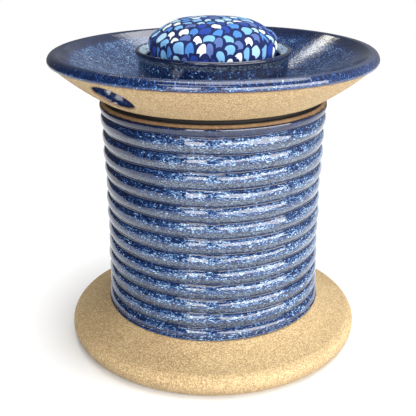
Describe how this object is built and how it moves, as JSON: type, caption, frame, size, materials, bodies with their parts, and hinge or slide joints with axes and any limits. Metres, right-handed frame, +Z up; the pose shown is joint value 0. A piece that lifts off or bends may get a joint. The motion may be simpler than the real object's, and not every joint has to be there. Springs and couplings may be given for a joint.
{
  "type": "yarn bowl",
  "caption": "Stoneware yarn bowl shaped like a spool of thread: ribbed glazed jar on a flared bare foot, under a lift-off dish lid with a yarn hole and a cup holding a round pincushion.",
  "frame": {"origin": "centre of the foot's underside, on the surface that the bowl stands on", "axes": "+Z up along the axis of the jar; -Y is the front; the yarn hole is at the front left, between -X and -Y"},
  "size_m": [0.178, 0.178, 0.185],
  "materials": {
    "bare_stoneware": "bare, speckled, slightly gritty",
    "blue_glaze": "glossy, speckled, darker where it is thin",
    "printed_cotton": "plain weave with a scale print",
    "fibre_fill": "loose",
    "card": "matt",
    "thread": "twisted",
    "glue": "satin"
  },
  "bodies": {
    "base": {"foot_flange": "bare_stoneware", "barrel": "blue_glaze"},
    "lid": {"lid_dish": "blue_glaze", "locating_ring": "bare_stoneware", "pin_cup": "blue_glaze", "pincushion_cover": "printed_cotton", "pincushion_stuffing": "fibre_fill", "pincushion_base_disc": "card", "gather_thread": "thread", "glue_bed": "glue"}
  },
  "joints": [
    {"name": "lid_lift", "type": "slide", "parent": "base", "child": "lid", "axis": [0, 0, 1], "range_m": [0, 0.15]}
  ]
}
